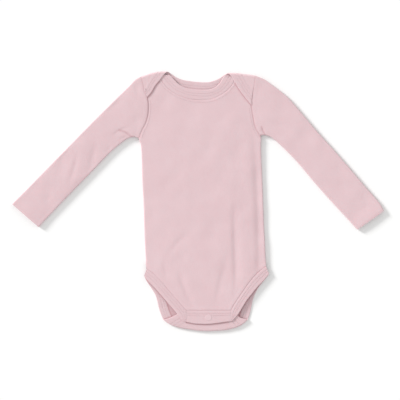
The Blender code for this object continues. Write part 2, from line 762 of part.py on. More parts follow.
def main():
    for old in list(bpy.data.objects):
        bpy.data.objects.remove(old, do_unlink=True)
    knit = finish("rib_knit", PINK, 0.9)
    band = finish("rib_band", PINK_BAND, 0.9)
    snap = finish("snap_enamel", SNAP_PINK, 0.35)
    make_back(knit)
    make_front(knit)
    make_back_neckband(band)
    make_front_neckband(band)
    for name in ("left", "right"):
        make_sleeve(name, knit)
        make_back_leg_binding(name, band)
        make_front_leg_binding(name, band)
    make_placket(band)
    make_snap(snap)


main()
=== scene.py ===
"""Looks of a baby's long-sleeved bodysuit in fine rib knit, laid flat on its back with its front up.

X runs across the body, Y towards the neck and Z up from the surface. Lengths are in millimetres, and build_cloth and
the other builders turn them into metres.
"""

import bpy
import numpy as np
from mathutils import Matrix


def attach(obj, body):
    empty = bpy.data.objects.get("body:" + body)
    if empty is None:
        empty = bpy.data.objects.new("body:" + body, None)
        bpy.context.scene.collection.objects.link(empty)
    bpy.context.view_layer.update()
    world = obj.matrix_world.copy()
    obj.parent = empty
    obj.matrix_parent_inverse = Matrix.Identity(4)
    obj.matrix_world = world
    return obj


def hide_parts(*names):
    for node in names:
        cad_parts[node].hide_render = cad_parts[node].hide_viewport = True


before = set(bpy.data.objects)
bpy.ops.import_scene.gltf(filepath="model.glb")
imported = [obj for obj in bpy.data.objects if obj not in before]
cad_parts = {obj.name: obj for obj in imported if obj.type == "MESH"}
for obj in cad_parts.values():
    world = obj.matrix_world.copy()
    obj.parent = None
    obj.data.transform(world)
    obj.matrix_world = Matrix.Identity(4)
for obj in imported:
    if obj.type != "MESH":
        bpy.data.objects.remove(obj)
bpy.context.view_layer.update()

# ---------------------------------------------------------------------------------------------------------------------
# The back. One layer of fine rib knit, cut in one piece from the shoulder laps down to the crotch tab. The laps fold
# over onto the front at the shoulders, and the tab folds up under the front's tab.

MM = 0.001
KNIT_WALL = 1.0
FOLDED_WALL = 1.2
# Radii of the bends where the cloth turns over, and how flat the side ones are pressed.
SIDE_BEND = 1.7
LAP_BEND = 2.3
TAB_BEND = 1.2
PRESSED = 0.5
BEND_COLUMNS = 9
PANEL_COLUMNS = 132
NECKBAND_WIDTH = 15.5
LEG_BINDING_WIDTH = 13.0
# How far the back's edge goes in under its leg bindings.
LEG_TUCK = 1.4
BODY_WIDTH = 180.0
# Heights at which the side seams end, and the end of the crotch tab as it lies folded up.
ARMPIT, HIP = 97, -97
BACK_TAB_END = -162.0


def table(columns, rows):
    """Rows of numbers as an array with named columns."""
    return np.array(rows, dtype=[(name, float) for name in columns.split()])


# Sides of the body from the shoulder fold down to the leg bindings. Above y = 94 they are the armholes.
BODY = table("y left right", [
    (188, -85.5, 85.6), (182, -84.2, 84.8), (174, -81.8, 83.6), (167, -81.0, 82.5), (159, -77.4, 81.0),
    (152, -75.8, 80.3), (137, -75.0, 81.0), (125, -76.5, 83.2), (116, -79.5, 84.8), (107, -84.0, 88.0),
    (99, -87.0, 93.0), (94, -88.3, 94.4), (86, -86.2, 94.5), (77, -85.2, 94.5), (60, -84.6, 95.2),
    (32, -83.8, 96.4), (-10, -81.6, 98.0), (-40, -80.8, 99.2), (-70, -79.6, 100.8), (-97, -77.8, 102.0),
])
# Free edges of the back's leg openings on the flat pattern, from the side seams to the end of the crotch tab.
BACK_LEGS = table("y left right", [
    (-112.0, -81.0, 105.0), (-121.0, -76.5, 97.5), (-130.0, -70.5, 90.5), (-139.0, -64.8, 85.8),
    (-148.0, -61.6, 82.4), (-157.0, -59.6, 80.4), (-166.0, -57.0, 78.4), (-178.0, -52.0, 74.6),
    (-190.5, -45.2, 68.6), (-199.5, -39.0, 63.1), (-208.0, -32.0, 59.0), (-217.0, -27.0, 56.0),
    (-226.0, -24.0, 54.0),
])
SHOULDER_FOLD = table("x y", [
    (-90.0, 185.2), (-85.5, 187.1), (-76.5, 190.4), (-67.5, 193.1), (-56.0, 194.49), (-42.0, 194.49),
    (42.0, 192.6), (63.0, 191.8), (76.0, 190.2), (85.5, 188.6), (90.0, 187.0),
])
CROTCH_FOLD = table("x y", [
    (-56.0, -174.5), (-52.0, -178.0), (-43.5, -184.1), (-34.5, -187.9), (-27.0, -190.1), (-9.0, -193.1),
    (3.0, -194.6), (15.0, -195.1), (27.0, -194.6), (43.5, -193.1), (55.5, -190.1), (67.5, -184.1),
    (75.0, -177.5), (79.0, -173.0),
])
# Free edge of the back's neckband: round the neck, then as it lies on the front, down each shoulder lap.
NECK_BACK = table("x y", [
    (-42.5, 193.0), (-37.5, 189.4), (-30.0, 184.9), (-21.0, 181.9), (-12.0, 180.4), (3.0, 178.9), (15.0, 178.9),
    (24.0, 181.0), (30.0, 183.6), (36.0, 187.2), (42.5, 191.6),
])
LAP_LEFT = table("x y", [(-75.6, 157.0), (-71.0, 162.0), (-64.5, 172.9), (-57.0, 182.0), (-52.5, 188.0)])
LAP_RIGHT = table("x y", [(50.5, 186.5), (56.0, 177.5), (63.0, 165.9), (72.0, 154.1), (80.4, 144.0)])


def smooth(at, knots, values):
    """Reads a curve through (knots, values): a cubic between two knots, its slope at a knot taken from both sides."""
    order = np.argsort(knots)
    knots, values = np.asarray(knots)[order], np.asarray(values)[order]
    slopes = np.gradient(values, knots)
    at = np.clip(at, knots[0], knots[-1])
    low = np.clip(np.searchsorted(knots, at) - 1, 0, len(knots) - 2)
    span = knots[low + 1] - knots[low]
    t = (at - knots[low]) / span
    ends = (2 * t**3 - 3 * t**2 + 1) * values[low] + (3 * t**2 - 2 * t**3) * values[low + 1]
    bends = (t**3 - 2 * t**2 + t) * slopes[low] + (t**3 - t**2) * slopes[low + 1]
    return ends + span * bends


def ease(amount):
    """0 below 0, 1 above 1, and a smooth rise between."""
    t = np.clip(amount, 0, 1)
    return t * t * (3 - 2 * t)


def bell(distance, half_width):
    """A bell curve: 1 at no distance, and about a third at half_width."""
    return np.exp(-((distance / half_width) ** 2))


def travel(line):
    """Distance along a line to each of its points: the steps from point to point, added up."""
    return np.concatenate([[0], np.cumsum(np.linalg.norm(np.diff(line, axis=0), axis=1))])


def read_at(at, length, values):
    """Rows of values, which stand at the distances length, read straight across at the distances at."""
    return np.stack([np.interp(at, length, column) for column in values.T], axis=-1)


def run_along(x, y, count):
    """count points, evenly spaced along the smooth curve through the points (x, y)."""
    length = travel(np.stack([x, y], axis=-1))
    fine = np.linspace(0, length[-1], 800)
    line = np.stack([smooth(fine, length, x), smooth(fine, length, y)], axis=-1)
    travelled = travel(line)
    return read_at(np.linspace(0, travelled[-1], count), travelled, line)


def through(rows, count, kind=""):
    """count points along the smooth curve through a table's x and y columns, or those whose names start with kind."""
    return run_along(rows[kind + "x"], rows[kind + "y"], count)


def set_off(curve, distance):
    """The curve moved sideways, to the right of its own direction, by distance."""
    along = np.gradient(curve, axis=0)
    along /= np.linalg.norm(along, axis=1, keepdims=True)
    return curve + distance * np.stack([along[:, 1], -along[:, 0]], axis=-1)


def near(line, x, y):
    """How far each point is from the line, with a plus to the line's right, and how far along the line it is."""
    start, run = line[:-1], np.diff(line, axis=0)
    length = np.hypot(run[:, 0], run[:, 1])
    before = np.concatenate([[0], np.cumsum(length)])[:-1]
    from_x, from_y = np.ravel(x)[:, None] - start[:, 0], np.ravel(y)[:, None] - start[:, 1]
    part = np.clip((from_x * run[:, 0] + from_y * run[:, 1]) / length**2, 0, 1)
    apart = np.hypot(from_x - part * run[:, 0], from_y - part * run[:, 1])
    best = np.argmin(apart, axis=1)
    pick = np.arange(len(best)), best
    turn = np.sign(from_x[pick] * run[best, 1] - from_y[pick] * run[best, 0])
    along = before[best] + part[pick] * length[best]
    return (apart[pick] * turn).reshape(np.shape(x)), along.reshape(np.shape(x))


def beside(line, x, y, half_width):
    """A bell curve across the line: 1 on it, and about a third half_width away."""
    return bell(near(line, x, y)[0], half_width)


def side(name, y):
    """X of the body's side at height y: the smooth curve through its column of BODY."""
    return smooth(y, BODY["y"], BODY[name])


def closed_side(y):
    """1 where the front and back turn over into a side seam, and 0 at the armholes and the leg openings."""
    return ease((ARMPIT - y) / 12) * ease((y - HIP) / 12)


def shoulder_fold(x):
    """Y of the shoulder's fold line: the outline above it, less the bend's radius and half a folded strip."""
    return smooth(x, SHOULDER_FOLD["x"], SHOULDER_FOLD["y"]) - LAP_BEND - FOLDED_WALL / 2


def crotch_fold(x):
    """Y of the crotch's fold line: the outline below it, plus the bend's radius and half a folded strip."""
    return smooth(x, CROTCH_FOLD["x"], CROTCH_FOLD["y"]) + TAB_BEND + FOLDED_WALL / 2


def lay_back(x, y, level):
    """Folds the point (x, y) of the flat back: round a half turn past each fold line, then back over the lower
    layer."""
    seen_y = np.clip(y, crotch_fold(x), shoulder_fold(x))
    z = level + 0 * y
    for past, bend, way in ((y - shoulder_fold(x), LAP_BEND, 1), (crotch_fold(x) - y, TAB_BEND, -1)):
        past = np.maximum(past, 0)
        turn = np.minimum(past / bend, np.pi)
        seen_y = seen_y + way * (bend * np.sin(turn) - np.maximum(past - np.pi * bend, 0))
        z = z + bend * (1 - np.cos(turn))
    return np.stack([x + 0 * y, seen_y, z], axis=-1)


def unfold_lap(x, seen_y):
    """Where a point of a shoulder lap, seen lying on the front, is on the flat pattern: mirrored in the fold line, and
    half a turn of the bend further."""
    return 2 * shoulder_fold(x) + np.pi * LAP_BEND - seen_y


def unfold_tab(x, seen_y):
    """The same for a point of the crotch tab, seen lying folded up."""
    return 2 * crotch_fold(x) - np.pi * TAB_BEND - seen_y


def back_side(name, y):
    """Side of the flat back. Past the shoulder fold it is the armhole that the lap folds onto."""
    x = side(name, np.asarray(y, float))
    for _ in range(6):
        x = side(name, np.where(y > HIP, lay_back(x, y, 0)[..., 1], HIP))
    return x


def back_neck_edge():
    """The neck's free edge on the flat pattern, from one armhole to the other."""
    x = np.concatenate([LAP_LEFT["x"], NECK_BACK["x"], LAP_RIGHT["x"]])
    left = unfold_lap(LAP_LEFT["x"], LAP_LEFT["y"])
    right = unfold_lap(LAP_RIGHT["x"], LAP_RIGHT["y"])
    return run_along(x, np.concatenate([left, NECK_BACK["y"], right]), 400)


BACK_NECK_EDGE = back_neck_edge()
BACK_NECK_SEAM = set_off(BACK_NECK_EDGE, NECKBAND_WIDTH)
BACK_LEG_SEAM = {
    name: set_off(run_along(BACK_LEGS[name], BACK_LEGS["y"], 160), inwards * LEG_BINDING_WIDTH)
    for name, inwards in (("left", -1), ("right", 1))
}


def seam_or_side(name, y):
    """Side of the back's panel all the way down: the body's side, then the seam of the leg binding."""
    seam = BACK_LEG_SEAM[name]
    below = np.interp(-y, -seam[:, 1], seam[:, 0]) + (LEG_TUCK if name == "right" else -LEG_TUCK)
    above = back_side(name, y)
    return above + (below - above) * ease((-94 - y) / 10)


def panel_columns(count):
    """Share of the width, distance in from the nearer side, and rise towards the side seam, for each column: the
    first and last few go round the bend of the flattened tube, a quarter ellipse because the edge is pressed."""
    angle = np.radians(np.linspace(0, 90, BEND_COLUMNS))
    inner = np.linspace(0.016, 0.984, count - 2)
    share = np.concatenate([np.zeros(BEND_COLUMNS), inner, np.ones(BEND_COLUMNS)])
    bend_in, rise = PRESSED * SIDE_BEND * (1 - np.cos(angle)), SIDE_BEND * (1 - np.sin(angle))
    inwards = np.concatenate([bend_in, 0 * inner, -bend_in[::-1]])
    return share, inwards, np.concatenate([rise, 0 * inner, rise[::-1]])


def panel_x(left, right, y, share, inwards):
    """X of a panel's columns at the heights y: on the armhole seam, or half a wall inside the body's outline."""
    clear = KNIT_WALL / 2 * closed_side(y)
    return left + clear + share * (right - left - 2 * clear) + inwards


def panel_ribs(y, share, inwards):
    """Place across and along the ribs on a panel."""
    return np.stack([(share - 0.5) * BODY_WIDTH + inwards + 0 * y, y], axis=-1)


def back_x(y, share, inwards):
    """X of the flat back's columns at the heights y, spread between its two sides."""
    return panel_x(seam_or_side("left", y), seam_or_side("right", y), y, share, inwards)


def meet(curve, share, inwards):
    """Height at which each column of the flat back meets the curve."""
    y = np.full(len(share), 195.0)
    for _ in range(40):
        y = y + 0.4 * (np.interp(back_x(y, share, inwards), curve[:, 0], curve[:, 1]) - y)
    return y


def spread(breaks, counts):
    """Rows of a grid: counts[i] evenly spaced rows from breaks[i] to breaks[i + 1], which hold a value per column."""
    rows = [breaks[0][None]]
    for start, end, count in zip(breaks[:-1], breaks[1:], counts):
        rows.append(start + (end - start) * np.linspace(0, 1, count + 1)[1:, None])
    return np.concatenate(rows)


def unit(vectors):
    """The vectors divided by their lengths."""
    return vectors / np.linalg.norm(vectors, axis=-1, keepdims=True)


def directions(grid, ring):
    """Direction of the grid along its first axis, at each point. A ring joins its last point to its first."""
    if ring:
        steps = unit(np.diff(np.concatenate([grid[-1:], grid, grid[:1]]), axis=0))
        return unit(steps[:-1] + steps[1:])
    steps = unit(np.diff(grid, axis=0))
    return unit(np.concatenate([steps[:1], steps[:-1] + steps[1:], steps[-1:]]))


def two_faces(middle, thickness, ring=False):
    """The two faces of a wall of cloth: the grid of its middle moved by half its thickness along its normals."""
    down = directions(middle, False)
    across = np.swapaxes(directions(np.swapaxes(middle, 0, 1), ring), 0, 1)
    normal = unit(np.cross(down, across))
    half = np.broadcast_to(thickness, middle.shape[:2])[..., None] / 2
    return middle + normal * half, middle - normal * half, normal


def put(name, data):
    """A new object with this data, in the scene at the origin."""
    thing = bpy.data.objects.new(name, data)
    bpy.context.scene.collection.objects.link(thing)
    return thing


def add_mesh(name, points, quads, material, uv=None, painted_shade=None):
    """A smooth-shaded mesh object from points in millimetres and quads, with a UV for each corner of each quad, and for
    each point how far painted shade darkens its colour towards the deeper rose."""
    mesh = bpy.data.meshes.new(name)
    mesh.vertices.add(len(points))
    mesh.vertices.foreach_set("co", (points * MM).ravel())
    mesh.loops.add(quads.size)
    mesh.loops.foreach_set("vertex_index", quads.ravel())
    mesh.polygons.add(len(quads))
    mesh.polygons.foreach_set("loop_start", np.arange(0, quads.size, 4))
    mesh.update(calc_edges=True)
    if uv is not None:
        mesh.uv_layers.new(name="knit").data.foreach_set("uv", uv.ravel())
    if painted_shade is not None:
        mesh.attributes.new("painted_shade", "FLOAT", "POINT").data.foreach_set("value", painted_shade.ravel())
    mesh.materials.append(material)
    mesh.shade_smooth()
    mesh.set_sharp_from_angle(angle=np.radians(60))
    piece = put(name, mesh)
    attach(piece, "root")
    return piece


def wall_quads(upper, lower, ring):
    """Corners of the faces of a wall: both faces, and the strips that close its edges."""
    faces = [
        (upper[:-1, :-1], upper[1:, :-1], upper[1:, 1:], upper[:-1, 1:]),
        (lower[:-1, 1:], lower[1:, 1:], lower[1:, :-1], lower[:-1, :-1]),
        (upper[0, :-1], upper[0, 1:], lower[0, 1:], lower[0, :-1]),
        (upper[-1, 1:], upper[-1, :-1], lower[-1, :-1], lower[-1, 1:]),
    ]
    if not ring:
        faces.append((upper[1:, 0], upper[:-1, 0], lower[:-1, 0], lower[1:, 0]))
        faces.append((upper[:-1, -1], upper[1:, -1], lower[1:, -1], lower[:-1, -1]))
    return np.concatenate([np.stack(corners, axis=-1).reshape(-1, 4) for corners in faces])


def build_cloth(name, middle, thickness, ribs, material, ring=False, painted_shade=0.0, both_faces=True):
    """A closed wall of cloth on the grid of its middle. ribs holds the grid's place across and along the ribs, in
    millimetres, with one column more than the grid on a ring; the UV map is a hundredth of it. The last two arguments
    give
    the painted shade: how far it darkens the colour towards the deeper rose, on both faces or only on the one that
    looks up."""
    upper, lower, normal = two_faces(middle, thickness, ring)
    rows, columns = middle.shape[:2]
    index = np.arange(rows * columns).reshape(rows, columns)
    place = np.arange(ribs.shape[0] * ribs.shape[1]).reshape(ribs.shape[:2])
    if ring:
        index = np.concatenate([index, index[:, :1]], axis=1)
    quads = wall_quads(index, index + rows * columns, ring)
    corners = wall_quads(place, place, ring)
    points = np.concatenate([upper.reshape(-1, 3), lower.reshape(-1, 3)])
    looks_up = normal[..., 2] > 0
    faces = (painted_shade, painted_shade) if both_faces else (painted_shade * looks_up, painted_shade * ~looks_up)
    shade_amount = np.concatenate([np.broadcast_to(face, (rows, columns)).ravel() for face in faces]).astype(np.float32)
    return add_mesh(name, points, quads, material, ribs.reshape(-1, 2)[corners.ravel()] / 100, shade_amount)


# The knit's colour, and the deeper rose that painted shade and the random unevenness mix it towards.
KNIT_PINK = (0.735, 0.55, 0.575, 1.0)
KNIT_ROSE_FOR_SHADE_AND_TONE = (0.60, 0.375, 0.40, 1.0)
RIB_PITCH = 1.35
LOOP_PITCH = 0.95


def set_sockets(material, node, sockets):
    """Puts each value on the node's socket of that name or number, or links it there if it is a node's output."""
    for socket, value in sockets.items():
        if isinstance(value, bpy.types.NodeSocket):
            material.node_tree.links.new(value, node.inputs[socket])
        else:
            node.inputs[socket].default_value = value


def add_node(material, kind, sockets=None):
    """A new node of this kind with these values on its sockets."""
    node = material.node_tree.nodes.new("ShaderNode" + kind)
    set_sockets(material, node, sockets or {})
    return node


def new_material(name, sockets):
    """A new material with these values on its shader's own sockets."""
    material = bpy.data.materials.new(name)
    material.use_nodes = True
    set_sockets(material, material.node_tree.nodes["Principled BSDF"], sockets)
    return material


def mix_colour_and_bump(material, colours, share, relief, strength, depth, clamp=True):
    """Mixes the shader's colour from the first of two to the second by share, and bumps its surface by the relief."""
    colour_mix = material.node_tree.nodes.new("ShaderNodeMix")
    colour_mix.data_type = "RGBA"
    colour_mix.clamp_factor = clamp
    set_sockets(material, colour_mix, {"A": colours[0], "B": colours[1], "Factor": share})
    bump = add_node(material, "Bump", {"Strength": strength, "Distance": depth, "Height": relief})
    shader = material.node_tree.nodes["Principled BSDF"]
    set_sockets(material, shader, {"Base Color": colour_mix.outputs["Result"], "Normal": bump.outputs["Normal"]})


def shade_of(colour, times):
    """The colour with each of its three channels multiplied, and opaque."""
    return [channel * times for channel in colour[:3]] + [1.0]


def rib_knit(name, tint=1.0):
    """Rib knit: sine ribs across the UV map, rows of slanted loops along them, and a soft cloudy unevenness. Painted
    shade darkens the hollows of the ribs and loops towards the deeper rose, and so does the mesh's point attribute of
    painted shade; a little sheen stands for the cotton's fuzz."""
    cotton = {
        "Roughness": 0.92,
        "Specular IOR Level": 0.15,
        "Sheen Weight": 0.14,
        "Sheen Roughness": 0.5,
        "Subsurface Weight": 0.12,
        "Subsurface Radius": (1.0, 0.62, 0.62),
        "Subsurface Scale": 0.0022,
    }
    material = new_material(name, cotton)

    def number(operation, *values):
        """A Math node on these values, each a number or another node's output."""
        node = add_node(material, "Math", dict(enumerate(values)))
        node.operation = operation
        return node.outputs[0]

    place = add_node(material, "UVMap")
    place.uv_map = "knit"
    axes = add_node(material, "SeparateXYZ", {0: place.outputs["UV"]})
    across = number("MULTIPLY", axes.outputs[0], 100 / RIB_PITCH)
    along = number("MULTIPLY", axes.outputs[1], 100 / LOOP_PITCH)
    rib = number("SINE", number("MULTIPLY", across, 2 * np.pi))
    slant = number("ABSOLUTE", number("SUBTRACT", number("FRACT", number("MULTIPLY", across, 2.0)), 0.5))
    loop = number("SINE", number("MULTIPLY", number("ADD", along, slant), 2 * np.pi))
    spot = add_node(material, "TexCoord").outputs["Object"]
    fuzz = add_node(material, "TexNoise", {"Scale": 900.0, "Detail": 3.0, "Vector": spot}).outputs["Fac"]
    cloud = add_node(material, "TexNoise", {"Scale": 26.0, "Detail": 4.0, "Roughness": 0.6, "Vector": spot})
    relief = number("ADD", rib, number("MULTIPLY", loop, 0.35))
    relief = number("ADD", relief, number("MULTIPLY", fuzz, 0.8))
    # Painted shade: the hollows of the ribs and of the loops are darker.
    rib_hollow_shade = number("MULTIPLY", number("SUBTRACT", 1.0, rib), 0.07)
    loops = number("MULTIPLY", number("SUBTRACT", 1.0, loop), 0.03)
    uneven = number("MULTIPLY", number("SUBTRACT", cloud.outputs["Fac"], 0.5), 0.32)
    specks = number("MULTIPLY", number("SUBTRACT", fuzz, 0.5), 0.16)
    # Painted shade from the mesh's point attribute, added to the mix towards the deeper rose.
    shade_attribute = add_node(material, "Attribute")
    shade_attribute.attribute_name = "painted_shade"
    share = number("ADD", number("ADD", rib_hollow_shade, loops), number("ADD", uneven, specks))
    share = number("MAXIMUM", number("ADD", share, shade_attribute.outputs["Fac"]), -0.3)
    colours = shade_of(KNIT_PINK, tint), shade_of(KNIT_ROSE_FOR_SHADE_AND_TONE, tint)
    mix_colour_and_bump(material, colours, share, relief, 0.3, 0.0001, clamp=False)
    return material


rng = np.random.default_rng(12)
RUMPLE_TURN = rng.uniform(0, 2 * np.pi, 24)
RUMPLE_LENGTH = rng.uniform(16.0, 60.0, 24)
RUMPLE_PHASE = rng.uniform(0, 2 * np.pi, 24)


def rumple(x, y):
    """Slight unevenness of hand-smoothed cloth: waves of two dozen lengths and directions added up, about 0.1 high."""
    height = 0 * (x + y)
    for turn, length, phase in zip(RUMPLE_TURN, RUMPLE_LENGTH, RUMPLE_PHASE):
        wave = 2 * np.pi * (x * np.cos(turn) + y * np.sin(turn)) / length + phase
        height = height + 0.0009 * length * np.sin(wave)
    return height


def creases(folds, x, y):
    """Height of the folds at (x, y). Each is a trough along a smooth line, or a ridge if its depth is below 0: a bell
    with one half width to the left of the line's direction and one to the right, faded towards both ends."""
    height = 0 * (x + y)
    for points, left_width, right_width, depth in folds:
        ends = np.array(points, float)
        line = run_along(*ends.T, 6 * len(ends)) if len(ends) > 2 else ends
        apart, along = near(line, x, y)
        length = travel(line)[-1]
        fade = ease(along / (0.45 * length)) * ease((length - along) / (0.45 * length))
        height = height - depth * fade * bell(apart, np.where(apart > 0, right_width, left_width))
    return height


knit = rib_knit("rib_knit")
share, inwards, rise = panel_columns(PANEL_COLUMNS)
neck = meet(BACK_NECK_SEAM, share, inwards)
fold = shoulder_fold(back_x(np.maximum(neck, 186), share, inwards))
lap_start = np.minimum(fold + np.pi * LAP_BEND, neck - 1.5)
fold_start = np.minimum(fold, lap_start - 1.5)
tab_fold = crotch_fold(back_x(np.full(len(share), -186.0), share, inwards))
tab_end = unfold_tab(back_x(np.full(len(share), -215.0), share, inwards), BACK_TAB_END)
y = spread(
    [neck, lap_start, fold_start, fold_start - 14, tab_fold + 4, tab_fold, tab_fold - np.pi * TAB_BEND, tab_end],
    [26, 12, 10, 210, 3, 12, 22],
)
x = back_x(y, share, inwards)
# Hollows in the underside, as left by smoothing the garment out from above.
BACK_FOLDS = [
    ([(-52, 120), (-60, 30), (-58, -60)], 5.0, 5.0, -0.35),
    ([(70, 90), (66, 0), (72, -80)], 5.0, 7.0, -0.4),
    ([(20, -60), (4, -110), (10, -150)], 6.0, 6.0, -0.3),
    ([(-30, 20), (-8, -30)], 5.0, 5.0, -0.25),
]
middle = lay_back(x, y, KNIT_WALL / 2)
middle[..., 2] += rise * closed_side(y)
middle[..., 2] += np.maximum(creases(BACK_FOLDS, x, y), 0) * ease((y + 165) / 20)
ribs = panel_ribs(y, share, inwards)
# The face that looks up carries painted shade where the inside face shows in the shade of the leg openings, and in the
# crook under the placket.
PLACKET = table(
    "x y",
    [(-17.0, -181.2), (-9.0, -182.9), (3.0, -184.0), (15.0, -184.1), (29.0, -182.6), (49.0, -179.9)],
)
opening_shade = 0.6 + 0.8 * np.maximum(*(beside(BACK_LEG_SEAM[name], x, y, 1.6) for name in ("left", "right")))
opening_shade = opening_shade * ease((-112 - y) / 12) * (y > tab_fold + 2)
placket_crook_shade = 0.9 * beside(through(PLACKET, 30), middle[..., 0], middle[..., 1], 1.8)
shade_amount = opening_shade + placket_crook_shade * (y < tab_fold)
back = build_cloth("back_panel_knit", middle, KNIT_WALL, ribs, knit, painted_shade=shade_amount, both_faces=False)
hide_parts("back_panel")

# ---------------------------------------------------------------------------------------------------------------------
# The front. One layer of the same knit, sewn to the back down both sides and lying on it. It stands up a little
# between the side seams, and carries the long creases that smoothing it out has left.

FRONT_LEVEL = KNIT_WALL / 2 + 2 * SIDE_BEND
FRONT_TAB_LEVEL = 4.5
BODY_LOFT = 0.8
PLACKET_TOP = -164.0
# Distance from a seam to the row of stitching that holds its allowance down.
SEAM_ROW = 3.9
NECK_FRONT = table("edge_x edge_y seam_x seam_y", [
    (-43.5, 190.3, -60.5, 189.6), (-39.0, 186.2, -53.5, 180.0), (-33.5, 180.0, -47.5, 172.4),
    (-27.0, 174.4, -38.5, 164.9), (-18.0, 170.1, -25.5, 158.0), (-6.0, 167.9, -10.5, 153.6),
    (6.0, 167.3, 4.0, 152.3), (18.0, 168.1, 20.5, 153.6), (28.0, 172.6, 35.0, 160.0), (34.5, 180.2, 45.5, 168.2),
    (37.5, 185.6, 52.0, 176.0), (40.5, 188.8, 57.5, 188.2),
])
LEG_FRONT = {
    "left": table("edge_x edge_y seam_x seam_y", [
        (-81.0, -112.1, -77.0, -101.3), (-74.0, -120.6, -66.0, -109.6), (-64.5, -130.1, -55.0, -121.0),
        (-54.5, -141.5, -45.0, -132.6), (-45.0, -152.6, -35.2, -144.1), (-36.0, -162.8, -26.2, -154.3),
        (-29.5, -171.3, -17.8, -164.0), (-25.3, -176.8, -17.4, -172.5), (-20.5, -180.2, -17.0, -181.2),
    ]),
    "right": table("edge_x edge_y seam_x seam_y", [
        (106.5, -109.1, 102.2, -97.8), (98.5, -118.9, 89.5, -107.8), (90.0, -127.6, 80.4, -117.6),
        (81.0, -138.5, 71.8, -129.0), (73.5, -148.1, 64.4, -140.2), (66.8, -158.8, 56.9, -151.0),
        (61.0, -168.4, 49.4, -164.0), (55.5, -174.8, 49.2, -172.0), (52.0, -178.6, 49.0, -179.9),
    ]),
}
PLACKET_CORNER = 6
# Folds of the upper layer: points along each, its half widths left and right of that direction, and its depth.
FRONT_FOLDS = [
    ([(83.5, 135), (85.5, 85), (88.5, 30), (90.5, -20), (91.5, -70), (91.0, -110), (88.0, -170)], 8.0, 5.4, 1.3),
    ([(55.0, 25), (54.5, -30), (55.5, -75), (56.5, -110), (55.0, -172)], 7.5, 4.0, 0.9),
    ([(-10.0, -46), (-26.0, -58), (-38.0, -71), (-47.0, -92)], 7.0, 4.2, 0.5),
    ([(-46.0, -70), (-50.0, -95), (-46.0, -128)], 6.0, 4.0, 0.3),
    ([(-32.0, -98), (-23.0, -124), (-14.0, -145), (-4.0, -170)], 7.0, 4.2, 0.85),
    ([(44.0, -80), (37.0, -108), (31.0, -132), (26.0, -166)], 7.0, 4.2, 0.55),
    ([(12.0, -110), (10.0, -150)], 9.0, 9.0, 0.2),
    ([(-58.0, 176), (-50.0, 170)], 3.5, 3.5, 0.4),
    ([(70.0, 120), (60.0, 60), (62.0, 0)], 10.0, 10.0, 0.25),
]


def raised(y):
    """How far the front has risen onto the folded-up back tab: 0 at the hips and 1 at the placket."""
    return ease((-108 - y) / 60)


def front_level(x, y):
    """Height of the middle of the front's wall: lofted between the sides, and raised over the folded-up back tab."""
    level = FRONT_LEVEL + (FRONT_TAB_LEVEL - FRONT_LEVEL) * raised(y)
    inside = np.minimum(x - side("left", y), side("right", y) - x)
    loft = BODY_LOFT * (1 - (1 - np.clip(inside / 55, 0, 1)) ** 2)
    free = ease((152 - y) / 50) * (1 - raised(y))
    return level + loft * free


def front_height(x, y):
    """The level with its folds and unevenness, which die out where the front is hidden under the laps."""
    free = ease((176 - y) / 20)
    folds = creases(FRONT_FOLDS, x, y) + rumple(x, y)
    return front_level(x, y) + folds * free * (1 - 0.5 * raised(y))


def bottom_line():
    """The front's lower seam from hip to hip: a leg binding's seam, the placket's top, the other leg's seam."""
    left, right = (through(LEG_FRONT[name][: PLACKET_CORNER + 1], 60, "seam_") for name in ("left", "right"))
    return np.concatenate([left, right[::-1]])


def armhole(name, count=60):
    """The armhole seam as a line from the shoulder fold down to the armpit."""
    y = np.linspace(189, 95, count)
    return np.stack([side(name, y), y], axis=-1)


def seam_dip(apart, along):
    """Shape of a panel beside a sewn seam: it sinks into the seam, swells over the seam allowance, and is gathered
    into small puckers by the thread."""
    pucker = 0.04 * np.sin(2 * np.pi * along / 6.3 + 1.7 * np.sin(along / 17)) * bell(apart - 2.5, 3.0)
    allowance = 0.12 * ease(apart / 2.0) * (1 - ease((apart - 4.2) / 2.6))
    return allowance + pucker - 0.22 * bell(apart, 0.9)


def front_x(y, share, inwards):
    """X of the front's columns at the heights y, spread between the body's two sides."""
    return panel_x(side("left", y), side("right", y), y, share, inwards)


def front_top(share, inwards):
    """Top of the front in each column: at its neckband's seam, or hidden in the shoulder folds beside it."""
    seam = through(NECK_FRONT, 300, "seam_")
    top = np.full(len(share), 180.0)
    for _ in range(10):
        x = front_x(top, share, inwards)
        shoulder = shoulder_fold(x) - 2.5
        neck = np.interp(x, seam[:, 0], seam[:, 1])
        top = np.where((x > seam[0, 0]) & (x < seam[-1, 0]), np.minimum(neck, shoulder), shoulder)
    return top


def front_bottom(share, inwards):
    """Bottom of the front in each column: the lower seam's height there, read again as the column moves with it."""
    line = bottom_line()
    bottom = np.full(len(share), -150.0)
    for _ in range(10):
        x = front_x(bottom, share, inwards)
        bottom = np.interp(x, line[:, 0], line[:, 1])
    return bottom


top, bottom = front_top(share, inwards), front_bottom(share, inwards)
y = spread([top, top - 2.4, bottom + 2.4, bottom], [7, 225, 7])
x = front_x(y, share, inwards)
neck_seam = through(NECK_FRONT, 50, "seam_")
z = front_height(x, y) - rise * closed_side(y)
# Painted shade darkens the seams' grooves and the front under the free edges of the shoulder laps.
painted_shade = 0 * z
for seam in (neck_seam, armhole("left", 40), armhole("right", 40), bottom_line()):
    apart, along = near(seam, x, y)
    z += seam_dip(np.abs(apart), along)
    painted_shade = np.maximum(painted_shade, 0.55 * bell(apart, 0.9))
for lap in (LAP_LEFT, LAP_RIGHT):
    painted_shade = np.maximum(painted_shade, 0.9 * beside(through(lap, 30), x, y, 1.6))
